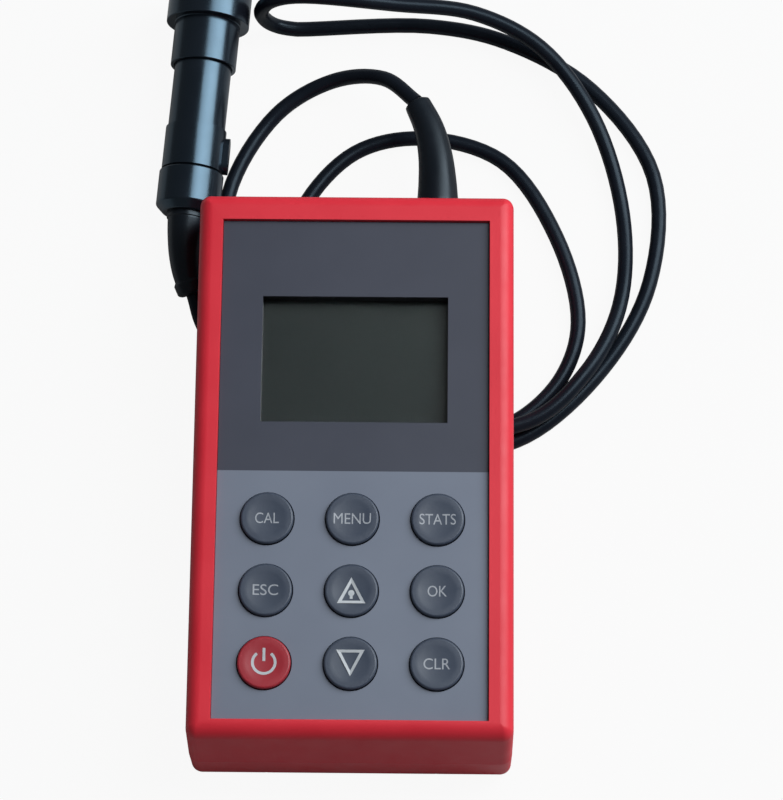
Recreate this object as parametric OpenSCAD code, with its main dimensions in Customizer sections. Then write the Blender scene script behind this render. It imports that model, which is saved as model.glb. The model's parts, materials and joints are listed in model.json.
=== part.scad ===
// Pocket coating thickness gauge with a wired contact probe.
// It lies on its back: X to the right, Y towards the cable end, Z out of the front face, millimetres.
// The origin is on the flat of the battery hump, under the middle of the case.

/* [Case] */
// Width of the case
case_w = 64; // [60:1:76]
// Length of the case
case_l = 115; // [112:1:130]
// Thickness of the moulded walls
wall = 2; // [1.6:0.1:2.4]
// Radius of the case corners, seen from the front
corner_r = 2.2; // [2:0.1:4]
// Radius of the front edge
edge_r = 2.8; // [1.5:0.1:2.8]
// Radius of the rear edges
back_r = 1.2; // [0.8:0.1:1.8]
// How far the battery end leans in from the parting line to the front
end_slope = 2.6; // [0:0.1:3]
// Height of the parting line above the rest plane
split_z = 11; // [10.5:0.1:11.5]
// How far the battery hump stands out of the thinner upper back
step_h = 8; // [6:0.5:8.5]
// Plain back between the battery compartment and the slope
hump_margin = 3.2; // [2.5:0.1:6]

/* [Front face] */
// Width of the raised rim at the sides
rim_side = 4.9; // [4:0.1:6]
// Width of the raised rim at the ends
rim_end = 5.7; // [4.5:0.1:7]
// Height of the rim above the overlay
rim_h = 1; // [0.5:0.1:1.4]
// Thickness of the printed overlay
overlay_t = 0.4; // [0.3:0.05:0.6]
// Gap round the overlay in its pocket
overlay_gap = 0.1; // [0.05:0.05:0.2]
// Thickness of the wall behind the overlay
front_t = 2; // [1.6:0.1:2.4]
// Width of the display window
window_w = 37.4; // [30:0.2:42]
// Length of the display window
window_l = 26.5; // [20:0.5:29]
// Distance of the window's middle from the cable end
window_from_top = 35.2; // [32:0.2:38]
// Thickness of the clear pane
pane_t = 1; // [0.8:0.1:1.2]
// How far the pane reaches under the wall on each side
pane_lap = 1.6; // [1:0.1:2]

/* [Keys] */
// Diameter of a key
key_d = 10.5; // [9:0.1:11.5]
// Distance between key columns
key_pitch_x = 16.9; // [15:0.1:17.5]
// Distance between key rows
key_pitch_y = 14.65; // [13.5:0.05:15]
// Distance of the middle key row from the battery end
keys_from_bottom = 31.7; // [30:0.1:34]
// Height of a key above the overlay
key_rise = 0.9; // [0.5:0.1:1]
// Depth of the dish in a key's top
dish_depth = 0.35; // [0.2:0.05:0.5]
// Width of the ring round the dish
key_ring = 0.9; // [0.6:0.1:1.4]
// Rounding of a key's top edge
key_edge_r = 0.45; // [0.2:0.05:0.5]
// Gap round a key in its hole
key_gap = 0.2; // [0.15:0.05:0.4]
// Width of the flange that keeps a key in
key_flange = 0.9; // [0.7:0.1:1.2]
// Thickness of that flange
key_flange_t = 0.8; // [0.6:0.1:1]
// Travel of a key
key_travel = 0.6; // [0.4:0.1:0.8]
// Gap between a key's flange and the wall over it
key_seat_gap = 0.2; // [0.1:0.05:0.3]
// Gap left under a key that is pressed down
press_gap = 0.4; // [0.3:0.05:0.5]
// Thickness of the switch mat
mat_t = 0.6; // [0.5:0.1:0.8]
// Height of a switch dome on the mat
dome_h = 0.4; // [0.3:0.1:0.6]
// Diameter of a switch dome
dome_d = 7; // [5:0.5:8]
// Width of the mat outside the outer domes
mat_margin = 1; // [0.5:0.1:1]

/* [Board and display] */
// Thickness of the circuit board
board_t = 1.2; // [1:0.1:1.6]
// Gap between the board and the side walls
board_gap = 4; // [3.5:0.1:4.5]
// Distance of the board from the outer face of the battery end
board_from_bottom = 10.2; // [10:0.1:12]
// Distance of the board from the outer face of the cable end
board_from_top = 11.5; // [10:0.1:13]
// Gap between the display glass and its neighbours
lcd_gap = 0.1; // [0.05:0.05:0.2]
// Width of the display's holding frame
lcd_frame_w = 1.5; // [1:0.1:2]
// Height of the rubber strips under the display
strip_h = 0.5; // [0.4:0.1:0.6]
// Width of those strips
strip_w = 2; // [1.5:0.1:2.5]

/* [Batteries] */
// Diameter of a cell
cell_d = 14.5; // [10.5:0.1:14.5]
// Length of a cell with its contact button
cell_l = 50.5; // [44:0.5:50.5]
// Gap round the cells
cell_gap = 0.2; // [0.1:0.05:0.3]
// Gap between the compartment and the front half
shell_gap = 0.2; // [0.1:0.05:0.3]
// Gap between the two cells
cell_space = 0.5; // [0.3:0.1:1]
// Free length for a contact spring
spring_room = 2.6; // [2.4:0.1:3.4]
// Wire of a contact spring
spring_wire = 0.7; // [0.5:0.1:0.9]
// Thickness of a contact plate
contact_t = 0.4; // [0.3:0.1:0.6]
// Thickness of the compartment's walls
tub_wall = 1.2; // [1:0.1:1.6]
// Thickness of the compartment's ceiling
ceiling_t = 0.6; // [0.5:0.1:0.8]
// Gap between the ceiling and the board
board_clear = 0.15; // [0.1:0.05:0.5]
// Thickness of the battery door
door_t = 1.5; // [1.2:0.1:1.6]
// Gap between the door and the rest plane
door_lift = 0.25; // [0.2:0.05:0.4]
// Gap round the door in its rails
door_gap = 0.3; // [0.2:0.05:0.4]
// How far the door reaches over the compartment's walls
door_lap = 1.9; // [1.6:0.1:2.5]
// How far the door reaches past the compartment's end
door_end_lap = 0.3; // [0.1:0.1:0.5]
// How far the door's tongues reach into the rails
tongue_w = 0.9; // [0.6:0.1:1.2]

/* [Fasteners] */
// Distance of the case screws from the outer side faces
screw_inset_x = 5; // [4.8:0.1:5.5]
// Distance of the case screws from the outer end faces
screw_inset_y = 6.5; // [6.2:0.1:6.8]
// Diameter of a case screw's shank
screw_d = 2.9; // [2.2:0.1:3]
// Diameter of a case screw's head
screw_head_d = 5.2; // [4.5:0.1:5.4]
// Height of a case screw's head
screw_head_h = 1.5; // [1:0.1:1.6]
// Length of a case screw's shank
screw_l = 9; // [7:0.5:9]
// Diameter of a board screw's shank
board_screw_d = 1.6; // [1.2:0.1:2]
// Distance of the board screws from the board's sides
board_screw_inset = 2; // [1.8:0.1:2.2]
// Gap round a screw in its hole
screw_gap = 0.15; // [0.1:0.05:0.2]

/* [Cable] */
// Diameter of the probe cable
cable_d = 3.2; // [2.8:0.1:3.4]
// Distance of the cable's outlet from the middle of the case
outlet_x = 16.5; // [14:0.1:17]
// Height of the outlet
outlet_z = 16; // [15.6:0.1:16.4]
// Diameter of the cable boot at the case
boot_d = 8.6; // [7:0.1:9]
// Length of the boot at the case
boot_l = 24; // [18:0.5:28]
// How far its tip bends to the middle of the case
boot_sway = 4.5; // [0:0.1:6]
// How far its tip bends down
boot_drop = 0.5; // [0:0.1:1]
// Straight base of a cable boot
boot_base_t = 1; // [0.8:0.1:1.5]
// How far that base stands out round the boot
boot_base_step = 0.2; // [0.1:0.05:0.3]
// Diameter of a cable boot at its tip
boot_tip_d = 5.4; // [4.6:0.1:6]
// Diameter of the boot's neck in the wall
neck_d = 7.2; // [6:0.1:7.6]
// Diameter of the boot's collar behind the wall
collar_d = 9.2; // [8:0.1:9.4]
// Thickness of that collar
collar_t = 1.5; // [1:0.1:2]

/* [Probe] */
// Diameter of the rear cap
cap_d = 13.5; // [13:0.1:14.5]
// Length of the rear cap
cap_l = 9; // [7:0.5:11]
// Chamfer at the rear of the cap
cap_chamfer = 1.6; // [1:0.1:2]
// Diameter of the cable boot at the cap
probe_boot_d = 8; // [7:0.1:9]
// Length of that boot
probe_boot_l = 16.4; // [14:0.1:17]
// How far its tip bends to the case
probe_boot_sway = 2.9; // [0:0.1:3]
// How far its tip bends down
probe_boot_drop = 2.45; // [2:0.05:2.5]
// How far the bead at its tip stands out
boot_bead = 0.5; // [0.3:0.1:0.6]
// Diameter of the ring in front of the cap
ring_d = 12.8; // [12.4:0.1:13.2]
// Length of the ring
ring_l = 9.2; // [7:0.2:11]
// Width of the groove between cap and ring
groove_w = 0.5; // [0.3:0.1:0.8]
// Diameter of the barrel
barrel_d = 12; // [11.4:0.1:12.2]
// Length of the barrel between ring and sleeve
barrel_l = 14; // [11:0.5:17]
// Thickness of the barrel's wall
barrel_wall = 1; // [0.8:0.1:1.3]
// Diameter of the guide sleeve
sleeve_d = 13.8; // [13.6:0.1:14.6]
// Length of the guide sleeve behind its foot
sleeve_l = 9.6; // [8.5:0.1:12]
// Diameter of the foot
foot_d = 17.5; // [16:0.1:19]
// Length of the foot
foot_l = 8; // [6:0.5:10]
// Width of the groove across the foot, for round stock
foot_groove_w = 4; // [3:0.5:6]
// Travel of the guide sleeve
sleeve_travel = 3; // [2:0.1:3.2]
// Running gap between sleeve and barrel
sleeve_gap = 0.1; // [0.05:0.05:0.2]
// Diameter of the measuring pole
pole_d = 3.2; // [2:0.1:4]
// How far the pole's tip stays behind the foot's face
tip_recess = 0.5; // [0.2:0.1:1]
// Lean of the probe from the long axis of the case, in degrees
probe_lean = 4.5; // [0:0.5:8]

/* [Hidden] */
$fn = 64;
// Part of a cut that stands out past a face
cut = 1;
// Thickness of the sheets that a form is stretched between
sheet_t = 0.02;

// Heights of the stack, from the rest plane up
cell_z = door_lift + door_t + cell_gap + cell_d / 2;
ceiling_z = cell_z + cell_d / 2 + cell_gap;
board_z = ceiling_z + ceiling_t + board_clear;
board_top = board_z + board_t;
dome_top = board_top + mat_t + dome_h;
key_bottom = dome_top + press_gap + key_travel;
front_under = key_bottom + key_flange_t + key_seat_gap;
front_top = front_under + front_t;
overlay_top = front_top + overlay_t;
case_t = overlay_top + rim_h;
key_top = overlay_top + key_rise;

// Outer face of the battery end at a height in the front half
function end_face(z) = end_slope * (z - split_z) / (case_t - split_z) - case_l / 2;

// Plan of the front
pocket_w = case_w - 2 * rim_side;
pocket_l = case_l - 2 * rim_end;
window_y = case_l / 2 - window_from_top;
keys_y = keys_from_bottom - case_l / 2;
key_hole_d = key_d + 2 * key_gap;
key_flange_d = key_hole_d + 2 * key_flange;
dish_r = key_d / 2 - key_ring;
dish_ball = (dish_r * dish_r + dish_depth * dish_depth) / (2 * dish_depth);

// Board and display
board_w = case_w - 2 * (wall + board_gap);
board_l = case_l - board_from_bottom - board_from_top;
board_y = (board_from_bottom - board_from_top) / 2;
pane_w = window_w + 2 * pane_lap;
pane_l = window_l + 2 * pane_lap;
lcd_bottom = board_top + strip_h;
lcd_top = front_under - pane_t - lcd_gap;
lcd_hole_w = pane_w + 2 * lcd_gap;
lcd_hole_l = pane_l + 2 * lcd_gap;
board_screw_x = board_w / 2 - board_screw_inset;
board_screw_y0 = board_y - board_l / 2 + board_screw_inset;
board_screw_y1 = board_y + board_l / 2 - board_screw_inset;
header_size = [8, 5, 4];
header_inset = 1.5;
header_y = board_y + board_l / 2 - header_size[1] / 2 - header_inset;
chip_size = [14, 14, 1.6];
signal_chip_size = [10, 8, 1.5];
crystal_size = [11, 4.6, 3.5];
buzzer_d = 12;
chip_space = 1;
left_parts_x = -10;
right_parts_x = 12;
chip_y = window_y + 2;
crystal_y = chip_y - chip_size[1] / 2 - chip_space - crystal_size[1] / 2;
signal_chip_y = window_y + 9;
buzzer_y = signal_chip_y - signal_chip_size[1] / 2 - chip_space - buzzer_d / 2;

// Battery compartment
tub_w = 2 * cell_d + cell_space + 2 * cell_gap;
tub_l = 2 * contact_t + spring_room + cell_l + cell_gap;
tub_y0 = end_face(ceiling_z + ceiling_t) + tub_wall;
tub_y1 = tub_y0 + tub_l;
cell_x = (cell_d + cell_space) / 2;
hump_end = tub_y1 + tub_wall + hump_margin;
door_top = door_lift + door_t;
door_seat = door_top + cell_gap;
door_w = tub_w + 2 * door_lap;
door_step_z = door_lift + door_t / 2;
door_end = tub_y1 + door_end_lap;
rail_roof_t = 1;
hump_floor = door_seat + rail_roof_t;

// Fasteners
screw_x = case_w / 2 - screw_inset_x;
screw_y = case_l / 2 - screw_inset_y;
screw_seat = step_h + screw_gap + screw_head_h;
post_wall = 1.7;
post_d = screw_d + 2 * post_wall;
well_d = screw_head_d + 4 * screw_gap;
boss_wall = 1;
boss_d = well_d + 2 * boss_wall;
board_post_wall = 1.3;
board_post_d = board_screw_d + 2 * board_post_wall;
board_head_d = 2 * board_screw_d;
board_head_h = 1;

// Probe along its own axis, from the rear of the cap to the foot's face
ring_start = cap_l + groove_w;
barrel_start = ring_start + ring_l;
sleeve_start = barrel_start + barrel_l;
foot_start = sleeve_start + sleeve_l;
probe_l = foot_start + foot_l;
lip_l = 1.5;
stop_l = 1.5;
stop_gap = 0.3;
barrel_end = sleeve_start + lip_l + stop_gap + stop_l;
barrel_bore = barrel_d - 2 * barrel_wall;
stop_rise = 0.3;
stop_d = barrel_d + 2 * stop_rise;
sleeve_bore = stop_d + 2 * sleeve_gap;
lip_bore = barrel_d + 2 * sleeve_gap;
spring_shut = 2.6;
sleeve_shoulder = barrel_end + sleeve_travel + spring_shut;
pole_hole = pole_d + 4 * sleeve_gap;
coil_l = 10;
cap_floor = 2.5;
cap_bore = 5;
// The probe lies on the rear of its cap and on the edge of its foot
probe_pitch = atan((foot_d - cap_d) / 2 / (foot_start - cap_chamfer));
probe_from_side = 3.8;
probe_from_end = 1.9;
probe_z = cap_d / 2 * cos(probe_pitch) - cap_chamfer * sin(probe_pitch);
probe_at = [-case_w / 2 - probe_from_side, case_l / 2 + probe_from_end, probe_z];

// Curves of the cable boots, bent from their bases to their tips
boot_shares = [0.25, 0.5, 0.75, 1];
outlet_at = [outlet_x, case_l / 2, outlet_z];
gauge_boot_route = concat([outlet_at + [0, boot_base_t, 0]], [for (t = boot_shares)
    outlet_at + [-boot_sway * pow(t, 3), boot_l * t, -boot_drop * pow(t, 3)]]);
probe_axis = [sin(probe_lean) * cos(probe_pitch), cos(probe_lean) * cos(probe_pitch), sin(probe_pitch)];
probe_boot_route = concat([probe_at - boot_base_t * probe_axis], [for (t = boot_shares)
    probe_at - probe_boot_l * t * probe_axis
    + [probe_boot_sway * pow(t, 3), 0, -probe_boot_drop * pow(t, 2)]]);
bead_share = 0.8;
tip_round = 0.6;

// Route of the cable, from the tip of the gauge's boot over the floor to the tip of the probe's boot
floor_route = [
    [5, 88.5, 11.5], [-6, 90.4, 5.2], [-17.8, 84, 2], [-27.5, 66, 1.6], [-26.6, 50.5, 1.6],
    [-20.5, 47.1, 1.6], [-14.4, 50.5, 1.6], [-11.8, 63, 1.6], [-1, 75.6, 1.6], [13, 79, 1.6],
    [30, 74, 1.6], [41.5, 57, 1.6], [46, 38, 1.6], [42.5, 26, 1.6], [34.5, 17.4, 1.6],
    [26.5, 14.1, 1.6], [19.5, 17.5, 1.6], [14, 24.5, 1.6], [6, 27.5, 1.6], [-1, 24, 1.6],
    [-2.4, 16.6, 1.6], [3.5, 10.6, 1.6], [20, 9.6, 1.6], [35, 13.2, 1.6], [51, 28, 1.6], [61, 47, 1.6],
    [62, 71, 1.6], [49, 90.4, 1.6], [31.1, 101.2, 1.6], [14.6, 104.8, 1.6], [-13.7, 103.9, 1.6],
    [-19, 104.1, 3.8], [-21.2, 104.4, 9.1], [-19, 104.7, 14.4], [-13.7, 104.9, 16.6],
    [7.2, 105.2, 12.2], [24.2, 104.5, 9.2], [38.2, 97.9, 6.6], [49.3, 83.1, 4.2], [55.5, 62, 1.7],
    [54.5, 41, 3.6], [47, 25.5, 5.2], [35, 15, 5.3], [3, 12.8, 5.2], [-13, 17, 2.4]
];
side_turn = [-case_w / 2 + 0.6, case_l / 2 - 22, 1.8];
boot_tip = len(boot_shares);
route = concat([gauge_boot_route[boot_tip]], floor_route, [side_turn, probe_boot_route[boot_tip]]);
cable_sides = 8;
boot_sides = 16;
spring_sides = 6;
turn_steps = 12;

// A smooth curve through points, and a tube along it
function unit(v) = v / norm(v);
function knot(a, b) = sqrt(norm(b - a));
function rate(p, i) =
    i == 0 ? (p[1] - p[0]) / knot(p[0], p[1]) :
    i == len(p) - 1 ? (p[i] - p[i - 1]) / knot(p[i - 1], p[i]) :
    let (u = knot(p[i - 1], p[i]), v = knot(p[i], p[i + 1]))
    (p[i] - p[i - 1]) / u - (p[i + 1] - p[i - 1]) / (u + v) + (p[i + 1] - p[i]) / v;
function between(p, i, s) =
    let (d = knot(p[i], p[i + 1]), e = 1 - s)
    (1 + 2 * s) * e * e * p[i] + s * e * e * d * rate(p, i)
    + s * s * (3 - 2 * s) * p[i + 1] - s * s * e * d * rate(p, i + 1);
function smooth(p, steps) = concat(
    [for (i = [0 : len(p) - 2], k = [0 : steps - 1]) between(p, i, k / steps)],
    [p[len(p) - 1]]);
function above(p, z) = [for (q = p) [q[0], q[1], max(q[2], z)]];
function heading(p, i) = unit(p[min(i + 1, len(p) - 1)] - p[max(i - 1, 0)]);
function ring_at(p, i, r, sides) =
    let (t = heading(p, i), a = unit(cross(t, [0, 0, 1])), b = cross(a, t))
    [for (k = [0 : sides - 1]) p[i] + r * (cos(360 * k / sides) * a + sin(360 * k / sides) * b)];
function wall_faces(a, b, sides) = [[a, b, a + sides], [b, b + sides, a + sides]];

module tube(path, radii, sides) {
    last = len(path) - 1;
    points = [for (i = [0 : last]) each ring_at(path, i, radii[i], sides)];
    near_end = [[for (k = [sides - 1 : -1 : 0]) k]];
    far_end = [[for (k = [0 : sides - 1]) last * sides + k]];
    walls = [for (i = [0 : last - 1], k = [0 : sides - 1])
        each wall_faces(i * sides + k, i * sides + (k + 1) % sides, sides)];
    polyhedron(points = points, faces = concat(near_end, far_end, walls));
}

// A coil of wire that stands along Z on the XY plane
module coil_spring(r0, r1, length, wire, turns) {
    steps = turn_steps * turns;
    turn = 360 / turn_steps;
    path = [for (i = [0 : steps])
        let (s = i / steps, r = r0 + (r1 - r0) * s)
        [r * cos(turn * i), r * sin(turn * i), wire / 2 + (length - wire) * s]];
    tube(path, [for (q = path) wire / 2], spring_sides);
}

// A rectangle with rounded corners
module plan(w, l, r) {
    square([w, l - 2 * r], center = true);
    square([w - 2 * r, l], center = true);
    for (x = [-1, 1], y = [-1, 1])
        translate([x * (w / 2 - r), y * (l / 2 - r)]) circle(r);
}

// Section of a rounded block outside its corner's axis
module edge_section(r, h, edge) {
    difference() {
        square([r, h]);
        translate([r - edge, h - edge]) difference() {
            square(edge + cut);
            circle(edge);
        }
    }
}

// A block with rounded corners and a rounded edge round its top
module rounded_block(w, l, h, r, edge) {
    translate([r - w / 2, r - l / 2, 0]) cube([w - 2 * r, l - 2 * r, h]);
    for (i = [0, 1]) {
        mirror([i, 0, 0]) translate([w / 2 - r, 0, 0]) rotate([90, 0, 0])
            linear_extrude(l - 2 * r, center = true) edge_section(r, h, edge);
        mirror([0, i, 0]) translate([0, l / 2 - r, 0]) rotate([0, 0, 90]) rotate([90, 0, 0])
            linear_extrude(w - 2 * r, center = true) edge_section(r, h, edge);
    }
    for (i = [0, 1], k = [0, 1])
        mirror([i, 0, 0]) mirror([0, k, 0]) translate([w / 2 - r, l / 2 - r, 0])
            rotate_extrude(angle = 90) edge_section(r, h, edge);
}

// Places that several pieces share
module at_keys() {
    for (i = [-1 : 1], k = [-1 : 1])
        translate([i * key_pitch_x, keys_y + k * key_pitch_y, 0]) children();
}

module at_case_screws() {
    for (x = [-1, 1], y = [-1, 1])
        translate([x * screw_x, y * screw_y, 0]) children();
}

module at_board_screws() {
    for (x = [-1, 1], y = [board_screw_y0, board_screw_y1])
        translate([x * board_screw_x, y, 0]) children();
}

module along_outlet(y) {
    translate([outlet_x, y, outlet_z]) rotate([-90, 0, 0]) children();
}

module on_probe() {
    translate(probe_at) rotate([0, 0, -probe_lean]) rotate([probe_pitch - 90, 0, 0]) children();
}

// Front half of the case, stretched over sheets with rounded corners up to its rounded front edge
module front_form() {
    $fn = 32;
    steps = 5;
    hull() {
        translate([0, 0, split_z]) linear_extrude(sheet_t) plan(case_w, case_l, corner_r);
        for (k = [0 : steps]) {
            inset = edge_r * (1 - cos(90 * k / steps));
            z = case_t - edge_r * (1 - sin(90 * k / steps));
            lean = end_face(z) + case_l / 2;
            translate([0, lean / 2, z - sheet_t]) linear_extrude(sheet_t)
                plan(case_w - 2 * inset, case_l - lean - 2 * inset, max(corner_r - inset, sheet_t));
        }
    }
}

// Room inside the front half, with a wall that follows the battery end
module front_room() {
    low = split_z - cut;
    rotate([90, 0, 90]) linear_extrude(case_w - 2 * wall, center = true) polygon([
        [end_face(low) + tub_wall, low], [end_face(front_under) + tub_wall, front_under],
        [case_l / 2 - wall, front_under], [case_l / 2 - wall, low]
    ]);
}

// Rear half of the case from a height up to the parting line, with rounded rear edges
module back_form(z, y0, y1) {
    translate([0, (y0 + y1) / 2, split_z]) mirror([0, 0, 1])
        rounded_block(case_w, y1 - y0, split_z - z, corner_r, back_r);
}

module hump() {
    reach = step_h + 2 * corner_r;
    difference() {
        back_form(0, -case_l / 2, hump_end + reach);
        translate([-case_w / 2 - cut, hump_end, 0]) rotate([45, 0, 0])
            translate([0, 0, -2 * reach]) cube([case_w + 2 * cut, 2 * reach, 2 * reach]);
    }
}

module front_shell() {
    color("crimson") difference() {
        union() {
            difference() {
                front_form();
                front_room();
            }
            at_case_screws() translate([0, 0, split_z]) cylinder(d = post_d, h = front_top - split_z);
            at_board_screws() translate([0, 0, board_top])
                cylinder(d = board_post_d, h = front_top - board_top);
        }
        translate([0, 0, front_top]) linear_extrude(case_t - front_top + cut)
            square([pocket_w, pocket_l], center = true);
        translate([0, window_y, front_under - cut]) linear_extrude(front_t + 2 * cut)
            square([window_w, window_l], center = true);
        at_keys() translate([0, 0, front_under - cut]) cylinder(d = key_hole_d, h = front_t + 2 * cut);
        at_case_screws() translate([0, 0, split_z - cut])
            cylinder(d = screw_d + screw_gap, h = screw_seat + screw_l + 2 * cut - split_z);
        at_board_screws() translate([0, 0, board_top - cut])
            cylinder(d = board_screw_d + screw_gap, h = front_under - board_top + cut);
        along_outlet(case_l / 2 - wall - cut) cylinder(d = neck_d + screw_gap, h = wall + 2 * cut);
    }
}

module rear_shell() {
    rail_w = door_w - 2 * tongue_w + 2 * door_gap;
    slot_l = door_end + door_gap + case_l / 2 + cut;
    tub_h = ceiling_z + ceiling_t - door_seat;
    color("firebrick") difference() {
        union() {
            difference() {
                union() {
                    back_form(step_h, -case_l / 2, case_l / 2);
                    hump();
                }
                translate([0, 0, step_h + wall]) linear_extrude(split_z - step_h)
                    square([case_w - 2 * wall, case_l - 2 * wall], center = true);
                translate([wall - case_w / 2, tub_y0, hump_floor])
                    cube([case_w - 2 * wall, hump_end - tub_y0, split_z]);
            }
            translate([-tub_w / 2 - tub_wall, tub_y0 - wall / 2, door_seat])
                cube([tub_w + 2 * tub_wall, tub_l + tub_wall + wall / 2, split_z - door_seat]);
            translate([-tub_w / 2 - tub_wall, tub_y0 + shell_gap, door_seat])
                cube([tub_w + 2 * tub_wall, tub_l + tub_wall - shell_gap, tub_h]);
            at_case_screws() translate([0, 0, step_h]) cylinder(d = boss_d, h = split_z - step_h);
            for (x = [-1, 1])
                translate([x * screw_x, -screw_y, wall]) cylinder(d = boss_d, h = split_z - wall);
        }
        translate([-tub_w / 2, tub_y0, -cut]) cube([tub_w, tub_l, ceiling_z + cut]);
        translate([-rail_w / 2, -case_l / 2 - cut, -cut]) cube([rail_w, slot_l, door_seat + cut]);
        translate([-door_w / 2 - door_gap, -case_l / 2 - cut, door_step_z - door_gap])
            cube([door_w + 2 * door_gap, slot_l, door_seat - door_step_z + door_gap]);
        at_case_screws() translate([0, 0, -cut]) cylinder(d = well_d, h = screw_seat + cut);
        at_case_screws() cylinder(d = screw_d + 2 * screw_gap, h = split_z + cut);
    }
}

module front_overlay() {
    color("slategray") translate([0, 0, front_top]) linear_extrude(overlay_t) difference() {
        square([pocket_w - 2 * overlay_gap, pocket_l - 2 * overlay_gap], center = true);
        translate([0, window_y]) square([window_w, window_l], center = true);
        at_keys() circle(d = key_hole_d);
    }
}

module display_window() {
    color("lightgray", 0.4) translate([0, window_y, front_under - pane_t]) linear_extrude(pane_t)
        square([pane_w, pane_l], center = true);
}

module lcd_glass() {
    color("darkslategray") translate([0, window_y, lcd_bottom]) linear_extrude(lcd_top - lcd_bottom)
        square([pane_w, pane_l], center = true);
}

module lcd_frame() {
    color("whitesmoke") translate([0, window_y, board_top])
        linear_extrude(lcd_top - board_top) difference() {
            square([lcd_hole_w + 2 * lcd_frame_w, lcd_hole_l + 2 * lcd_frame_w], center = true);
            square([lcd_hole_w, lcd_hole_l], center = true);
        }
}

module lcd_connectors() {
    color("dimgray") for (y = [-1, 1])
        translate([0, window_y + y * (pane_l - strip_w) / 2, board_top]) linear_extrude(strip_h)
            square([window_w, strip_w], center = true);
}

module circuit_board() {
    color("seagreen") difference() {
        translate([0, board_y, board_z]) linear_extrude(board_t) square([board_w, board_l], center = true);
        at_board_screws() translate([0, 0, board_z - cut])
            cylinder(d = board_screw_d + 2 * screw_gap, h = board_t + 2 * cut);
    }
}

// A flat chip under the board, with a mark at its first pin
module chip(x, y, size) {
    mark_d = 1;
    mark_inset = 1.5;
    translate([x, y, board_z - size[2]]) difference() {
        translate([-size[0] / 2, -size[1] / 2, 0]) cube(size);
        translate([mark_inset - size[0] / 2, size[1] / 2 - mark_inset, -cut])
            cylinder(d = mark_d, h = cut + size[2] / 8);
    }
}

module microcontroller() {
    color("black") chip(left_parts_x, chip_y, chip_size);
}

module signal_chip() {
    color("black") chip(right_parts_x, signal_chip_y, signal_chip_size);
}

module crystal() {
    color("silver") translate([left_parts_x, crystal_y, board_z - crystal_size[2]])
        linear_extrude(crystal_size[2])
            plan(crystal_size[0], crystal_size[1], crystal_size[1] / 2 - 0.1);
}

module buzzer() {
    buzzer_h = 5;
    hole_d = 2;
    color("black") translate([right_parts_x, buzzer_y, board_z - buzzer_h]) difference() {
        cylinder(d = buzzer_d, h = buzzer_h);
        translate([0, 0, -cut]) cylinder(d = hole_d, h = buzzer_h / 2 + cut);
    }
}

module probe_header() {
    color("ivory") translate([outlet_x, header_y, board_z - header_size[2] / 2])
        cube(header_size, center = true);
}

module cable_lead() {
    jacket_t = 0.4;
    lead_d = cable_d - 2 * jacket_t;
    lead_y = header_y + header_size[1] / 2;
    color("dimgray") along_outlet(lead_y)
        cylinder(d = lead_d, h = case_l / 2 - wall - collar_t - lead_y);
}

module key_mat() {
    side = dome_d + 2 * mat_margin;
    color("lightgray") {
        translate([0, keys_y, board_top]) linear_extrude(mat_t)
            square([2 * key_pitch_x + side, 2 * key_pitch_y + side], center = true);
        at_keys() translate([0, 0, board_top + mat_t])
            cylinder(d1 = dome_d, d2 = dome_d - 2 * dome_h, h = dome_h);
    }
}

// One key cap: flange below the wall, rounded top edge and a shallow dish
module key_cap(column, row) {
    translate([column * key_pitch_x, keys_y + row * key_pitch_y, 0]) rotate_extrude() difference() {
        union() {
            translate([0, key_bottom]) square([key_d / 2, key_top - key_bottom]);
            translate([0, key_bottom]) square([key_flange_d / 2, key_flange_t]);
        }
        translate([0, key_top - dish_depth + dish_ball]) circle(dish_ball, $fn = 256);
        translate([key_d / 2 - key_edge_r, key_top - key_edge_r]) difference() {
            square(key_edge_r + cut);
            circle(key_edge_r);
        }
    }
}

module key_cal() { color("slategray") key_cap(-1, 1); }
module key_menu() { color("slategray") key_cap(0, 1); }
module key_stats() { color("slategray") key_cap(1, 1); }
module key_escape() { color("slategray") key_cap(-1, 0); }
module key_up() { color("slategray") key_cap(0, 0); }
module key_ok() { color("slategray") key_cap(1, 0); }
module key_power() { color("firebrick") key_cap(-1, -1); }
module key_down() { color("slategray") key_cap(0, -1); }
module key_clear() { color("slategray") key_cap(1, -1); }

module battery_door() {
    door_l = door_end + case_l / 2;
    lower_w = door_w - 2 * tongue_w;
    grip_w = 14;
    grip_pitch = 2.4;
    grip_r = 0.6;
    color("firebrick") difference() {
        intersection() {
            union() {
                translate([-lower_w / 2, -case_l / 2, door_lift]) cube([lower_w, door_l, door_t]);
                translate([-door_w / 2, -case_l / 2, door_step_z])
                    cube([door_w, door_l, door_top - door_step_z]);
            }
            back_form(0, -case_l / 2, case_l / 2);
        }
        for (i = [1 : 4])
            translate([0, i * grip_pitch + tub_y0, door_lift]) rotate([0, 90, 0])
                cylinder(r = grip_r, h = grip_w, center = true);
    }
}

// One cell along Y with its contact button at the far end
module cell() {
    button_d = 5.5;
    button_h = 1;
    rotate([-90, 0, 0]) {
        cylinder(d = cell_d, h = cell_l - button_h);
        cylinder(d = button_d, h = cell_l);
    }
}

module battery_cell_left() {
    color("darkgoldenrod") translate([-cell_x, tub_y0 + contact_t + spring_room, cell_z]) cell();
}

module battery_cell_right() {
    color("darkgoldenrod") translate([cell_x, tub_y1 - contact_t - spring_room, cell_z])
        mirror([0, 1, 0]) cell();
}

module battery_springs() {
    base_r = 4.5;
    tip_r = 2.6;
    turns = 3;
    color("silver") {
        translate([-cell_x, tub_y0 + contact_t, cell_z]) rotate([-90, 0, 0])
            coil_spring(base_r, tip_r, spring_room, spring_wire, turns);
        translate([cell_x, tub_y1 - contact_t, cell_z]) rotate([90, 0, 0])
            coil_spring(base_r, tip_r, spring_room, spring_wire, turns);
    }
}

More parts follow.
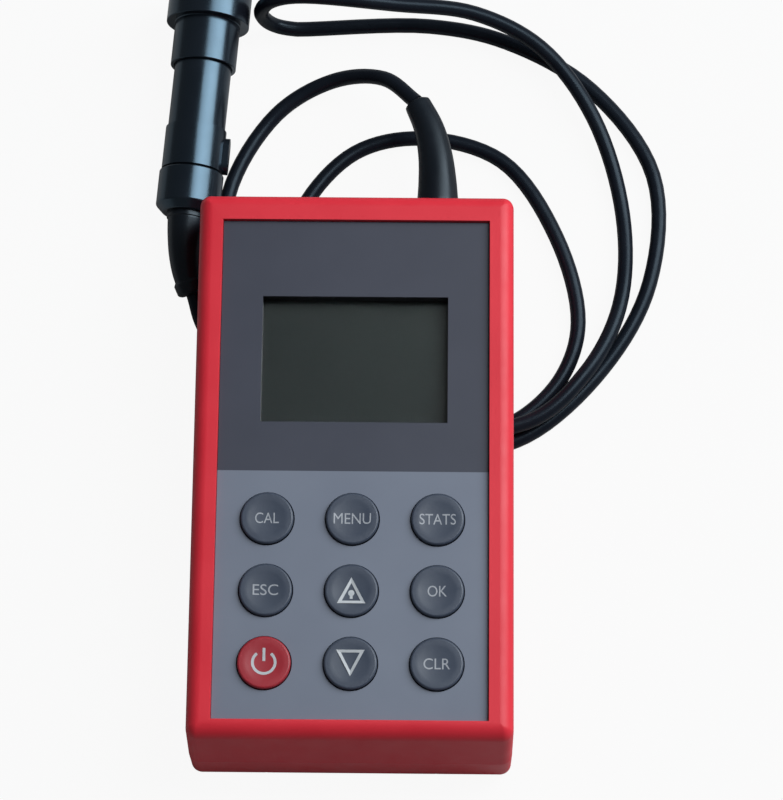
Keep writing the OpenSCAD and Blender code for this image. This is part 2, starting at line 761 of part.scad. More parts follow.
module battery_contacts() {
    plate_w = 11;
    plate_h = 11;
    color("silver") {
        translate([-cell_x - plate_w / 2, tub_y0, cell_z - plate_h / 2])
            cube([2 * cell_x + plate_w, contact_t, plate_h]);
        for (x = [-1, 1])
            translate([x * cell_x - plate_w / 2, tub_y1 - contact_t, cell_z - plate_h / 2])
                cube([plate_w, contact_t, plate_h]);
    }
}

// A cross-head screw that points up, with its head's underside at height 0
module screw(d, length, head_d, head_h) {
    slot_w = head_d / 7;
    slot_l = head_d * 0.6;
    difference() {
        union() {
            cylinder(d = d, h = length);
            translate([0, 0, -head_h]) cylinder(d = head_d, h = head_h);
        }
        translate([0, 0, -head_h]) {
            cube([slot_l, slot_w, head_h], center = true);
            cube([slot_w, slot_l, head_h], center = true);
        }
    }
}

module case_screws() {
    color("dimgray") at_case_screws() translate([0, 0, screw_seat])
        screw(screw_d, screw_l, screw_head_d, screw_head_h);
}

module board_screws() {
    color("silver") at_board_screws() translate([0, 0, board_z])
        screw(board_screw_d, front_under - board_z - cut / 2, board_head_d, board_head_h);
}

// A boot as one body: the steps of its root, each with a distance along its axis and a radius,
// and then its bent part
module boot(root, axis, steps, route, radii) {
    root_line = [for (q = steps) root + q[0] * axis];
    root_radii = [for (q = steps) q[1]];
    tube(concat(root_line, route), concat(root_radii, radii), boot_sides);
}

module gauge_cable_boot() {
    path = smooth(gauge_boot_route, 3);
    last = len(path) - 1;
    base_r = boot_d / 2 + boot_base_step;
    color("black") boot(outlet_at, [0, 1, 0], [
        [-wall - collar_t, collar_d / 2], [-wall, collar_d / 2], [-wall, neck_d / 2], [0, neck_d / 2],
        [0, base_r], [boot_base_t, base_r]
    ], path, [for (i = [0 : last])
        boot_d / 2 + (boot_tip_d - boot_d) / 2 * i / last - (i == last ? tip_round : 0)]);
}

module probe_cable() {
    path = above(smooth(route, 2), cable_d / 2);
    color("black") tube(path, [for (q = path) cable_d / 2], cable_sides);
}

module probe_cable_boot() {
    path = smooth(probe_boot_route, 4);
    last = len(path) - 1;
    plug_r = (cap_bore - screw_gap) / 2;
    base_r = probe_boot_d / 2 + boot_base_step;
    color("black") boot(probe_at, -probe_axis, [
        [-cap_floor, plug_r], [0, plug_r], [0, base_r], [boot_base_t, base_r]
    ], path, [for (i = [0 : last])
        let (bead = i > bead_share * last ? boot_bead : 0)
        probe_boot_d / 2 + (boot_tip_d - probe_boot_d) / 2 * i / last + bead]);
}

module probe_rear_cap() {
    color("black") on_probe() rotate_extrude() polygon([
        [cap_bore / 2, 0], [cap_d / 2 - cap_chamfer, 0], [cap_d / 2, cap_chamfer], [cap_d / 2, cap_l],
        [barrel_bore / 2, cap_l], [barrel_bore / 2, cap_floor], [cap_bore / 2, cap_floor]
    ]);
}

// The ring carries a flat lug that keeps the probe from rolling
module probe_ring() {
    groove_depth = 0.8;
    neck_r = ring_d / 2 - groove_depth;
    lug_w = 4;
    lug_l = ring_l - 1.4;
    lug_h = 1;
    color("black") on_probe() difference() {
        union() {
            translate([0, 0, cap_l]) cylinder(r = neck_r, h = groove_w);
            translate([0, 0, ring_start]) cylinder(d = ring_d, h = ring_l);
            translate([0, 0, ring_start + lug_l / 2]) rotate([0, 90, 0]) linear_extrude(ring_d / 2 + lug_h)
                plan(lug_l, lug_w, lug_w / 2 - 0.1);
        }
        translate([0, 0, cap_l - cut]) cylinder(d = barrel_bore, h = groove_w + ring_l + 2 * cut);
    }
}

module probe_barrel() {
    front_wall = 1.2;
    color("dimgray") on_probe() difference() {
        union() {
            translate([0, 0, barrel_start]) cylinder(d = barrel_d, h = barrel_end - barrel_start);
            translate([0, 0, barrel_end - stop_l]) cylinder(d = stop_d, h = stop_l);
        }
        translate([0, 0, barrel_start - cut])
            cylinder(d = barrel_bore, h = barrel_end - barrel_start - front_wall + cut);
        cylinder(d = pole_hole, h = barrel_end + cut);
    }
}

module probe_spring() {
    coil_inset = 0.4;
    coil_r = barrel_bore / 2 - coil_inset;
    turns = 3;
    color("silver") on_probe() translate([0, 0, barrel_end])
        coil_spring(coil_r, coil_r, sleeve_travel + spring_shut, spring_wire, turns);
}

module probe_coil() {
    flange_d = barrel_bore - 4 * sleeve_gap;
    winding_drop = 0.6;
    winding_d = flange_d - 2 * winding_drop;
    flange_t = 1;
    color("chocolate") on_probe() translate([0, 0, barrel_end - coil_l - 2]) difference() {
        union() {
            cylinder(d = winding_d, h = coil_l);
            cylinder(d = flange_d, h = flange_t);
            translate([0, 0, coil_l - flange_t]) cylinder(d = flange_d, h = flange_t);
        }
        translate([0, 0, -cut]) cylinder(d = pole_d + sleeve_gap, h = coil_l + 2 * cut);
    }
}

module probe_pole() {
    tip = probe_l - tip_recess;
    root = barrel_end - coil_l - 4;
    color("silver") on_probe() {
        translate([0, 0, root]) cylinder(d = pole_d, h = tip - pole_d / 2 - root);
        translate([0, 0, tip - pole_d / 2]) sphere(d = pole_d);
    }
}

// Sleeve and foot are turned in one piece, with a groove across the foot
module probe_guide_sleeve() {
    groove = foot_groove_w / sqrt(2);
    edge = 0.6;
    color("black") on_probe() difference() {
        rotate_extrude() polygon([
            [lip_bore / 2, sleeve_start], [sleeve_d / 2, sleeve_start], [sleeve_d / 2, foot_start],
            [foot_d / 2, foot_start], [foot_d / 2, probe_l - edge], [foot_d / 2 - edge, probe_l],
            [pole_hole / 2, probe_l], [pole_hole / 2, sleeve_shoulder], [sleeve_bore / 2, sleeve_shoulder],
            [sleeve_bore / 2, sleeve_start + lip_l], [lip_bore / 2, sleeve_start + lip_l]
        ]);
        translate([0, 0, probe_l]) rotate([0, 45, 0])
            cube([groove, foot_d + 2 * cut, groove], center = true);
    }
}

front_shell();
rear_shell();
front_overlay();
display_window();
lcd_glass();
lcd_frame();
lcd_connectors();
circuit_board();
microcontroller();
signal_chip();
crystal();
buzzer();
probe_header();
cable_lead();
key_mat();
key_cal();
key_menu();
key_stats();
key_escape();
key_up();
key_ok();
key_power();
key_down();
key_clear();
battery_door();
battery_cell_left();
battery_cell_right();
battery_springs();
battery_contacts();
case_screws();
board_screws();
gauge_cable_boot();
probe_cable();
probe_cable_boot();
probe_rear_cap();
probe_ring();
probe_barrel();
probe_spring();
probe_coil();
probe_pole();
probe_guide_sleeve();
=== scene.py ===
import json
import math

import bmesh
import bpy
from mathutils import Matrix, Vector

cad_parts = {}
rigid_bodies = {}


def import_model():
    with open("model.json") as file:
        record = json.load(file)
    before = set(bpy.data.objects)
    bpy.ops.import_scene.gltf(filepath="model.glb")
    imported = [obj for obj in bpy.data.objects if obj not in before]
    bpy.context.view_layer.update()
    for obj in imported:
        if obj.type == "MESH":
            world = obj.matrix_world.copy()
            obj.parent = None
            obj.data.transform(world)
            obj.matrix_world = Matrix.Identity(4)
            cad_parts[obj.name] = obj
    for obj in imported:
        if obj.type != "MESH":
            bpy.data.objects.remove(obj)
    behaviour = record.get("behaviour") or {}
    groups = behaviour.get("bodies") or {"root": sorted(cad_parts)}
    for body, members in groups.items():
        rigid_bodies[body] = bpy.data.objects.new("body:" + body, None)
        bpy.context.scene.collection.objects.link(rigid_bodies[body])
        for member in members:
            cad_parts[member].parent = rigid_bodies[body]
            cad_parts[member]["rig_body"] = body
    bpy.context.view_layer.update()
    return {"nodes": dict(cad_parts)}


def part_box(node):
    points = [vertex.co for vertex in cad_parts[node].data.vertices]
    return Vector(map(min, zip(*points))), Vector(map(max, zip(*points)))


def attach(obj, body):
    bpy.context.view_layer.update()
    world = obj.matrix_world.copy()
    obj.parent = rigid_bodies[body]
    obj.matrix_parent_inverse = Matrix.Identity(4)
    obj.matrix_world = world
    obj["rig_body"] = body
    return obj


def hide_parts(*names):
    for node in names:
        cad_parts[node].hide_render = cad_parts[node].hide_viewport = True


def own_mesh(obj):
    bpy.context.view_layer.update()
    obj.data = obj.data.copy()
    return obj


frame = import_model()
nodes = frame["nodes"]
scene = bpy.context.scene
scene.view_settings.view_transform = "Standard"
mm = 0.001

# Camera: it looks down on the gauge from the battery end, a little turned,
# from about 0.7 m away, with a long lens and no depth of field.
view_target = Vector((7.38, 17.53, 12)) * mm
view_azimuth, view_elevation, view_roll = (math.radians(a) for a in (1.65, 72.43, -1.1))
view_distance = 711.36 * mm
view_lens, view_sensor = 157.07, 36.0
back = Vector((math.sin(view_azimuth) * math.cos(view_elevation),
               -math.cos(view_azimuth) * math.cos(view_elevation),
               math.sin(view_elevation)))
level_right = Vector((0, 0, 1)).cross(back).normalized()
level_up = back.cross(level_right)
right = level_right * math.cos(view_roll) + level_up * math.sin(view_roll)
up = level_up * math.cos(view_roll) - level_right * math.sin(view_roll)
camera = bpy.data.objects.new("camera", bpy.data.cameras.new("camera"))
camera.data.lens = view_lens
camera.data.sensor_width = view_sensor
camera.data.clip_start = 0.05
camera.matrix_world = Matrix((right, up, back)).transposed().to_4x4()
camera.location = view_target + back * view_distance
scene.collection.objects.link(camera)
scene.camera = camera

# Probe cable: a limp round lead of black rubber, moulded into a boot at both ends.
# It leaves the top of the case, drops to the table and lies there in loose loops,
# partly under the thin upper half of the case.
cable_d = 3.2 * mm
gauge_boot_tip, probe_boot_tip = (12, 81.5, 15.5), (-34.185, 43.07, 3.408)
cable_route = [
    gauge_boot_tip, (5, 88.5, 11.5), (-6, 90.4, 5.2), (-17.8, 84, 2), (-27.5, 66, 1.6),
    (-26.6, 50.5, 1.6), (-20.5, 47.1, 1.6), (-14.4, 50.5, 1.6), (-11.8, 63, 1.6), (-1, 75.6, 1.6),
    (13, 79, 1.6), (30, 74, 1.6), (41.5, 57, 1.6), (46, 38, 1.6), (42.5, 26, 1.6), (34.5, 17.4, 1.6),
    (26.5, 14.1, 1.6), (19.5, 17.5, 1.6), (14, 24.5, 1.6), (6, 27.5, 1.6), (-1, 24, 1.6),
    (-2.4, 16.6, 1.6), (3.5, 10.6, 1.6), (20, 9.6, 1.6), (35, 13.2, 1.6), (51, 28, 1.6), (61, 47, 1.6),
    (62, 71, 1.6), (49, 90.4, 1.6), (31.1, 101.2, 1.6), (14.6, 104.8, 1.6), (-13.7, 103.9, 1.6),
    (-19, 104.1, 3.8), (-21.2, 104.4, 9.1), (-19, 104.7, 14.4), (-13.7, 104.9, 16.6),
    (7.2, 105.2, 12.2), (24.2, 104.5, 9.2), (38.2, 97.9, 6.6), (49.3, 83.1, 4.2), (55.5, 62, 1.7),
    (54.5, 41, 3.6), (47, 25.5, 5.2), (35, 15, 5.3), (3, 12.8, 5.2), (-13, 17, 2.4),
    (-31.4, 35.5, 1.8), probe_boot_tip,
]


def smooth_line(points, steps):
    """A smooth line through points in millimetres, as points in metres."""
    p = [Vector(q) for q in points]
    gap = [math.sqrt((b - a).length) for a, b in zip(p, p[1:])]
    slope = [(p[1] - p[0]) / gap[0]]
    for i in range(1, len(p) - 1):
        u, v = gap[i - 1], gap[i]
        slope.append((p[i] - p[i - 1]) / u - (p[i + 1] - p[i - 1]) / (u + v) + (p[i + 1] - p[i]) / v)
    slope.append((p[-1] - p[-2]) / gap[-1])
    line = []
    for i, d in enumerate(gap):
        for k in range(steps):
            s = k / steps
            e = 1 - s
            line.append(((1 + 2 * s) * e * e * p[i] + s * e * e * d * slope[i]
                         + s * s * (3 - 2 * s) * p[i + 1] - s * s * e * d * slope[i + 1]) * mm)
    return line + [p[-1] * mm]


def added(tree, kind, values, operation=None, data_type=None):
    """A new node; each input gets a value or the output of another node."""
    node = tree.nodes.new(kind)
    if operation:
        node.operation = operation
    if data_type:
        node.data_type = data_type
    for socket, value in values.items():
        if isinstance(value, bpy.types.NodeSocket):
            tree.links.new(value, node.inputs[socket])
        else:
            node.inputs[socket].default_value = value
    return node


def mixed(tree, factor, first, second):
    """A colour between two others, each a value or the output of another node."""
    ends = {"Factor": factor}
    for socket, colour in (("A", first), ("B", second)):
        ends[socket] = colour if isinstance(colour, bpy.types.NodeSocket) else (*colour, 1)
    return added(tree, "ShaderNodeMix", ends, data_type="RGBA").outputs["Result"]


def new_material(name, metal=0.0, specular=0.5, tint=(1, 1, 1)):
    """A material with no colour yet, its surface shader and the node of the piece's own coordinates."""
    material = bpy.data.materials.new(name)
    material.use_nodes = True
    tree = material.node_tree
    tree.nodes.clear()
    place = tree.nodes.new("ShaderNodeTexCoord")
    shader = added(tree, "ShaderNodeBsdfPrincipled", {
        "Metallic": metal, "Specular IOR Level": specular, "Specular Tint": (*tint, 1)})
    added(tree, "ShaderNodeOutputMaterial", {"Surface": shader.outputs["BSDF"]})
    return material, tree, shader, place


def mottle(tree, place, scale, low, high):
    """Fine noise in the piece's own coordinates, spread between two values."""
    noise = added(tree, "ShaderNodeTexNoise", {
        "Vector": place.outputs["Object"], "Scale": scale, "Detail": 4.0})
    return added(tree, "ShaderNodeMapRange", {
        "Value": noise.outputs["Fac"], "From Min": 0.3, "From Max": 0.7, "To Min": low, "To Max": high,
    }).outputs["Result"]


def clouded(tree, place, scale, dark, light):
    """A colour that drifts between two shades of one finish."""
    return mixed(tree, mottle(tree, place, scale, 0, 1), dark, light)


def surface(tree, place, shader, colour, rough, patch, grain_scale, grain_depth):
    """Gives a surface its colour, a slightly uneven gloss, and a fine moulded or blasted grain."""
    noise = added(tree, "ShaderNodeTexNoise", {
        "Vector": place.outputs["Object"], "Scale": grain_scale, "Detail": 3.0})
    bump = added(tree, "ShaderNodeBump", {
        "Height": noise.outputs["Fac"], "Strength": 0.4, "Distance": grain_depth})
    tree.links.new(colour, shader.inputs["Base Color"])
    tree.links.new(mottle(tree, place, patch, *rough), shader.inputs["Roughness"])
    tree.links.new(bump.outputs["Normal"], shader.inputs["Normal"])


def finish(name, dark, light, rough, patch, grain_scale, grain_depth, **kind):
    """A material of one finish, slightly clouded in colour and gloss."""
    material, tree, shader, place = new_material(name, **kind)
    surface(tree, place, shader, clouded(tree, place, patch, dark, light), rough, patch * 3,
            grain_scale, grain_depth)
    return material


cable_rubber = finish("cable_rubber", (0.006, 0.008, 0.013), (0.010, 0.013, 0.019), (0.27, 0.35), patch=120,
                      grain_scale=2600, grain_depth=0.00001, specular=0.18, tint=(0.64, 0.84, 1.0))
cable_line = smooth_line(cable_route, steps=8)
for point in cable_line:
    point.z = max(point.z, cable_d / 2)
cable_curve = bpy.data.curves.new("probe_cable_lead", "CURVE")
cable_curve.dimensions = "3D"
cable_curve.bevel_depth = cable_d / 2
cable_curve.bevel_resolution = 5
cable_curve.use_fill_caps = True
spline = cable_curve.splines.new("POLY")
spline.points.add(len(cable_line) - 1)
for place_on_line, point in zip(spline.points, cable_line):
    place_on_line.co = (*point, 1)
cable = bpy.data.objects.new("probe_cable_lead", cable_curve)
cable.data.materials.append(cable_rubber)
scene.collection.objects.link(cable)
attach(cable, "gauge")
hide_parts("probe_cable")

# Cable boots: bend reliefs of soft black rubber, moulded on the cable's ends.
# One is held in the case wall by its neck and collar, the other plugs into the probe's cap.
boot_sides = 48


def swept_piece(name, line, radii, material):
    """A closed piece swept along a line with a radius at each of its points."""
    mesh = bmesh.new()
    rings = []
    last = len(line) - 1
    turn = 2 * math.pi / boot_sides
    for i, (centre, radius) in enumerate(zip(line, radii)):
        heading = (line[min(i + 1, last)] - line[max(i - 1, 0)]).normalized()
        across = heading.cross(Vector((0, 0, 1))).normalized()
        upward = across.cross(heading)
        spokes = [math.cos(turn * k) * across + math.sin(turn * k) * upward for k in range(boot_sides)]
        rings.append([mesh.verts.new(centre + radius * spoke) for spoke in spokes])
    for a, b in zip(rings, rings[1:]):
        for k in range(boot_sides):
            m = (k + 1) % boot_sides
            mesh.faces.new((a[k], a[m], b[m], b[k]))
    mesh.faces.new(list(reversed(rings[0])))
    mesh.faces.new(rings[-1])
    bmesh.ops.recalc_face_normals(mesh, faces=mesh.faces)
    data = bpy.data.meshes.new(name)
    mesh.to_mesh(data)
    for face in data.polygons:
        face.use_smooth = True
    data.set_sharp_from_angle(angle=math.radians(40))
    data.materials.append(material)
    piece = bpy.data.objects.new(name, data)
    scene.collection.objects.link(piece)
    return piece


def boot_profile(line, base_d, tip_d, tip_round, bead=0.0, bead_from=1.0):
    """Radii of a tapered boot with a rounded tip, in metres."""
    bead_ramp, tip_fullness = 0.04, 0.9
    total = sum((b - a).length for a, b in zip(line, line[1:]))
    run, radii = 0.0, []
    for i, point in enumerate(line):
        if i:
            run += (point - line[i - 1]).length
        share = run / total
        radius = (base_d + (tip_d - base_d) * share) / 2
        if share > bead_from:
            radius += bead * min(1, (share - bead_from) / bead_ramp)
        from_tip = (total - run) / tip_round
        if from_tip < 1:
            radius -= tip_round * (1 - math.sqrt(1 - (1 - from_tip) ** 2)) * tip_fullness
        radii.append(radius)
    return radii


def with_base(line, radii, root, axis, steps):
    """A boot's line and radii, led by the steps of its base: distances along an axis, and radii."""
    seam = 0.1
    base_line = [(root + axis * along) * mm for along, radius in steps]
    base_radii = [radius * mm for along, radius in steps]
    free = [i for i, point in enumerate(line) if (point / mm - root).dot(axis) > steps[-1][0] + seam]
    return base_line + [line[i] for i in free], base_radii + [radii[i] for i in free]


boot_rubber = finish("boot_rubber", (0.005, 0.007, 0.011), (0.009, 0.012, 0.017), (0.30, 0.38), patch=90,
                     grain_scale=2200, grain_depth=0.00002, specular=0.34, tint=(0.74, 0.89, 1.0))
boot_shares, boot_steps = (0.25, 0.5, 0.75, 1), 14
outlet, outlet_axis, wall = Vector((16.5, 57.5, 16)), Vector((0, 1, 0)), 2.0
gauge_boot_l, gauge_boot_sway, gauge_boot_drop = 24, 4.5, 0.5
gauge_boot_path = [outlet + outlet_axis]
gauge_boot_path += [
    outlet + Vector((-gauge_boot_sway * t ** 3, gauge_boot_l * t, -gauge_boot_drop * t ** 3))
    for t in boot_shares]
gauge_boot_line = smooth_line(gauge_boot_path, boot_steps)
gauge_boot_radii = boot_profile(gauge_boot_line, base_d=8.6 * mm, tip_d=5.4 * mm, tip_round=0.7 * mm)
# Collar inside the wall, neck through it and flange outside, as distances along the axis and radii.
gauge_boot_base = ((-wall - 1.5, 4.6), (-wall, 4.6), (-wall, 3.6), (0, 3.6), (0, 4.5), (1, 4.5), (1, 4.27))
gauge_boot = swept_piece(
    "gauge_cable_boot_rubber",
    *with_base(gauge_boot_line, gauge_boot_radii, outlet, outlet_axis, gauge_boot_base), boot_rubber)
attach(gauge_boot, "gauge")
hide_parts("gauge_cable_boot")

probe_rear = Vector((-35.8, 59.4, 6.664))
probe_lean, probe_pitch = math.radians(4.5), math.atan(2 / 40.7)
probe_axis = Vector((math.sin(probe_lean) * math.cos(probe_pitch),
                     math.cos(probe_lean) * math.cos(probe_pitch), math.sin(probe_pitch)))
probe_boot_l, probe_boot_sway, probe_boot_drop = 16.4, 2.9, 2.45
probe_boot_path = [probe_rear - probe_axis]
probe_boot_path += [
    probe_rear - probe_boot_l * t * probe_axis
    + Vector((probe_boot_sway * t ** 3, 0, -probe_boot_drop * t ** 2))
    for t in boot_shares]
probe_boot_line = smooth_line(probe_boot_path, boot_steps)
probe_boot_radii = boot_profile(probe_boot_line, base_d=8 * mm, tip_d=5.4 * mm, tip_round=0.8 * mm,
                                bead=0.5 * mm, bead_from=0.8)
# Plug in the probe's cap and flange behind it, as distances along the axis and radii.
probe_boot_base = ((-2.5, 2.42), (0, 2.42), (0, 4.2), (1, 4.2), (1, 3.96))
probe_boot = swept_piece(
    "probe_cable_boot_rubber",
    *with_base(probe_boot_line, probe_boot_radii, probe_rear, -probe_axis, probe_boot_base), boot_rubber)
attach(probe_boot, "gauge")
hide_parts("probe_cable_boot")

# Case: two shells of satin red plastic, moulded, and screwed together from behind.
# The walls of the openings for display and keys are painted near black as shade, so no red shows in their
# gaps.


def finished_copy(node, name, material, soften, sharp=30):
    """A CAD piece with joined faces, none left inside its walls, and edges softened as tools leave them."""
    same_place, flat = 1e-6, math.radians(0.3)
    work = bmesh.new()
    work.from_mesh(nodes[node].data)
    bmesh.ops.remove_doubles(work, verts=work.verts, dist=same_place)
    bmesh.ops.dissolve_limit(work, angle_limit=flat, verts=work.verts, edges=work.edges)
    # On a face left inside a wall, most edges don't have two faces.
    for _ in range(3):
        within = [f for f in work.faces if 2 * sum(len(e.link_faces) != 2 for e in f.edges) > len(f.edges)]
        bmesh.ops.delete(work, geom=within, context="FACES")
    work.verts.index_update()
    data = bpy.data.meshes.new(name)
    data.from_pydata([v.co[:] for v in work.verts], [], [[v.index for v in f.verts] for f in work.faces])
    for face in data.polygons:
        face.use_smooth = True
    data.set_sharp_from_angle(angle=math.radians(sharp))
    data.materials.append(material)
    piece = bpy.data.objects.new(name, data)
    scene.collection.objects.link(piece)
    bevel = piece.modifiers.new("softened edges", "BEVEL")
    bevel.width = soften
    bevel.segments = 2
    bevel.limit_method = "ANGLE"
    bevel.angle_limit = math.radians(sharp)
    even = piece.modifiers.new("even faces", "WEIGHTED_NORMAL")
    even.keep_sharp = True
    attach(piece, nodes[node]["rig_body"])
    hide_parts(node)
    return piece


def reckoned(tree, operation, *values):
    """The result of a sum on numbers or on outputs of other nodes."""
    return added(tree, "ShaderNodeMath", dict(enumerate(values)), operation).outputs["Value"]


def inside(tree, place, low, high):
    """1 inside a box in the piece's own coordinates, and 0 outside."""
    split = added(tree, "ShaderNodeSeparateXYZ", {"Vector": place.outputs["Object"]})
    result = 1.0
    for axis, start, end in zip("XYZ", low, high):
        past_start = reckoned(tree, "GREATER_THAN", split.outputs[axis], start)
        before_end = reckoned(tree, "LESS_THAN", split.outputs[axis], end)
        between = reckoned(tree, "MULTIPLY", past_start, before_end)
        result = reckoned(tree, "MULTIPLY", result, between)
    return result


overlay_low, overlay_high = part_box("front_overlay")
pane_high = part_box("display_window")[1]
# The last colour here is a near black, painted as shade in the gaps of the openings.
red_dark, red_light, painted_gap_shade = (0.74, 0.027, 0.046), (0.80, 0.034, 0.055), (0.012, 0.013, 0.016)
gap_margin, pane_margin, film_margin = 0.3 * mm, 0.005 * mm, 0.05 * mm
case_red, tree, shader, place = new_material("case_red", specular=0.34)
# Painted shade: within the overlay's area, from the pane's top up to the film, the shell is coloured near
# black instead of red. This stands in for the shade on the walls of the display and key openings.
painted_shade_in_openings = inside(
    tree, place,
    (overlay_low.x + gap_margin, overlay_low.y + gap_margin, pane_high.z + pane_margin),
    (overlay_high.x - gap_margin, overlay_high.y - gap_margin, overlay_low.z + film_margin))
red = clouded(tree, place, 70, red_dark, red_light)
surface(tree, place, shader, mixed(tree, painted_shade_in_openings, red, painted_gap_shade), rough=(0.40, 0.50), patch=220,
        grain_scale=1800, grain_depth=0.00003)
for node in ("front_shell", "rear_shell"):
    shell = finished_copy(node, node + "_moulding", case_red, soften=0.2 * mm)

# Battery door: a plate of the same red plastic, moulded with four grip grooves.
# It slides in rails in the back of the case and covers the cells.
door = finished_copy("battery_door", "battery_door_plate", case_red, soften=0.12 * mm)

# Front overlay: one printed film of matt plastic, stuck in the pocket of the front.
# The upper field behind the display is dark grey and the key field is a paler grey.
field_edge = -1.2 * mm
overlay_film, tree, shader, place = new_material("overlay_film", specular=0.4)
split = added(tree, "ShaderNodeSeparateXYZ", {"Vector": place.outputs["Object"]})
in_upper_field = reckoned(tree, "GREATER_THAN", split.outputs["Y"], field_edge)
key_field = clouded(tree, place, 60, (0.172, 0.196, 0.254), (0.190, 0.216, 0.276))
display_field = clouded(tree, place, 60, (0.046, 0.051, 0.074), (0.053, 0.058, 0.083))
surface(tree, place, shader, mixed(tree, in_upper_field, key_field, display_field), rough=(0.45, 0.49),
        patch=500, grain_scale=3200, grain_depth=0.00001)
overlay = finished_copy("front_overlay", "front_overlay_film", overlay_film, soften=0.05 * mm)

# Display: a clear acrylic pane stuck under the front wall, and behind it
# the dark glass of the switched-off display, which lies in its frame on the board.
pane_glass, tree, shader, place = new_material("pane_glass")
shader.inputs["Base Color"].default_value = (0.9, 0.93, 0.92, 1)
shader.inputs["Transmission Weight"].default_value = 1.0
shader.inputs["IOR"].default_value = 1.45
tree.links.new(mottle(tree, place, 400, 0.02, 0.06), shader.inputs["Roughness"])
display_dark = finish("display_dark", (0.034, 0.043, 0.043), (0.042, 0.051, 0.051), (0.28, 0.36),
                      patch=25, grain_scale=4000, grain_depth=0.000005)
for node, material in (("display_window", pane_glass), ("lcd_glass", display_dark)):
    nodes[node].data.materials.clear()
    nodes[node].data.materials.append(material)

# Keys: nine round caps of dark satin plastic, each dished, with a legend printed in the dish.
# A flange under the wall keeps each cap in, and the switch mat pushes it up.
key_grey = finish("key_grey", (0.046, 0.060, 0.092), (0.058, 0.074, 0.108), (0.38, 0.48),
                  patch=150, grain_scale=2400, grain_depth=0.00002)
key_red = finish("key_red", (0.34, 0.018, 0.030), (0.40, 0.024, 0.038), (0.38, 0.48),
                 patch=150, grain_scale=2400, grain_depth=0.00002)
print_white = finish("print_white", (0.50, 0.53, 0.56), (0.58, 0.60, 0.63), (0.5, 0.6),
                     patch=600, grain_scale=5000, grain_depth=0.000005)
print_grey = finish("print_grey", (0.34, 0.36, 0.40), (0.40, 0.42, 0.46), (0.5, 0.6),
                    patch=600, grain_scale=5000, grain_depth=0.000005)
dish_r, dish_depth, print_lift = 4.35 * mm, 0.35 * mm, 0.02 * mm
dish_ball = (dish_r ** 2 + dish_depth ** 2) / (2 * dish_depth)
word_height, mark_stroke = 2.2 * mm, 0.55 * mm
triangle_w, triangle_h, dot_r, power_r = 5.6 * mm, 5.3 * mm, 0.62 * mm, 2.5 * mm


def word_mesh(word, width):
    """The faces of a short word, centred on the origin, with a set width and cap height."""
    curve = bpy.data.curves.new("word", "FONT")
    curve.body = word
    curve.align_x = "CENTER"
    curve.size = 3.0 * mm
    curve.resolution_u = 6
    holder = bpy.data.objects.new("word", curve)
    scene.collection.objects.link(holder)
    bpy.context.view_layer.update()
    made = bpy.data.meshes.new_from_object(holder.evaluated_get(bpy.context.evaluated_depsgraph_get()))
    bpy.data.objects.remove(holder)
    xs, ys = [v.co.x for v in made.vertices], [v.co.y for v in made.vertices]
    middle = Vector(((min(xs) + max(xs)) / 2, (min(ys) + max(ys)) / 2, 0))
    stretch = (width / (max(xs) - min(xs)), word_height / (max(ys) - min(ys)), 1, 1)
    made.transform(Matrix.Diagonal(stretch) @ Matrix.Translation(-middle))
    return made


def band_mesh(outer, inner, closed=True):
    """A flat band between two outlines with as many points each."""
    data = bpy.data.meshes.new("band")
    n = len(outer)
    faces = [(i, (i + 1) % n, n + (i + 1) % n, n + i) for i in range(n if closed else n - 1)]
    data.from_pydata([(x, y, 0) for x, y in outer + inner], [], faces)
    return data


def triangle_mesh(point_up, dotted):
    """A triangle drawn in outline, with a dot on a stem inside if wanted."""
    side_inset, tip_inset = 1.75 * mark_stroke, 2.1 * mark_stroke
    half, foot, tip = triangle_w / 2, -triangle_h / 2, triangle_h / 2
    inner_half, inner_foot = half - side_inset, foot + mark_stroke
    outer = [(-half, foot), (half, foot), (0, tip)]
    inner = [(-inner_half, inner_foot), (inner_half, inner_foot), (0, tip - tip_inset)]
    data = band_mesh(outer, inner)
    work = bmesh.new()
    work.from_mesh(data)
    if dotted:
        centre = Vector((0, -0.10 * triangle_h, 0))
        stem_half, stem_top, stem_foot = 0.45 * dot_r, centre.y - 0.8 * dot_r, centre.y - 1.9 * dot_r
        bmesh.ops.create_circle(work, cap_ends=True, segments=24, radius=dot_r,
                                matrix=Matrix.Translation(centre))
        work.faces.new([work.verts.new(corner) for corner in (
            (-stem_half, stem_foot, 0), (stem_half, stem_foot, 0),
            (stem_half, stem_top, 0), (-stem_half, stem_top, 0))])
    if not point_up:
        bmesh.ops.rotate(work, verts=work.verts, cent=(0, 0, 0), matrix=Matrix.Rotation(math.pi, 3, "Z"))
    work.to_mesh(data)
    return data


def power_mesh():
    """An open ring with a bar in its gap."""
    steps, gap_angle = 40, math.radians(38)
    bar_half, bar_foot, bar_top = mark_stroke / 2, 0.12 * power_r, 1.15 * power_r
    sweep = 2 * (math.pi - gap_angle)
    angles = [math.pi / 2 + gap_angle + sweep * i / steps for i in range(steps + 1)]
    outer, inner = ([(radius * math.cos(a), radius * math.sin(a)) for a in angles]
                    for radius in (power_r, power_r - mark_stroke))
    data = band_mesh(outer, inner, closed=False)
    work = bmesh.new()
    work.from_mesh(data)
    work.faces.new([work.verts.new(corner) for corner in (
        (-bar_half, bar_foot, 0), (bar_half, bar_foot, 0),
        (bar_half, bar_top, 0), (-bar_half, bar_top, 0))])
    work.to_mesh(data)
    return data


